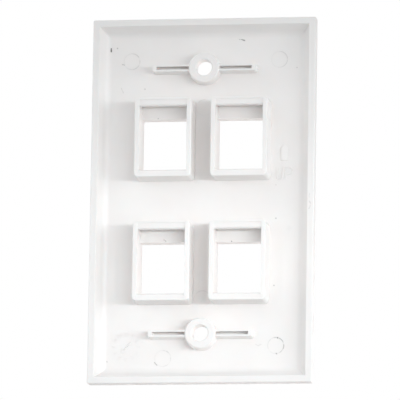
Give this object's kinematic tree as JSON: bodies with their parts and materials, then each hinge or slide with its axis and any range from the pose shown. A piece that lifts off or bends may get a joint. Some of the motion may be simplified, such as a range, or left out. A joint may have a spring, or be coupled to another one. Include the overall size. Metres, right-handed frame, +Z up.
{
  "type": "keystone faceplate",
  "caption": "Rectangular moulded wall plate with snap-in keystone jack windows, shown from the back: stepped wells, countersunk screw bosses with slotted ribs and a flat rim.",
  "frame": {"origin": "in the wall plane, which is the rear face of the rim, midway between the two screw holes", "axes": "+Z up along the line of the screws, +Y into the wall, X across the plate; the room is on the -Y side"},
  "size_m": [0.0698, 0.01, 0.1142],
  "materials": {
    "white_plastic": "satin"
  },
  "bodies": {
    "root": {"faceplate": "white_plastic"}
  },
  "joints": []
}
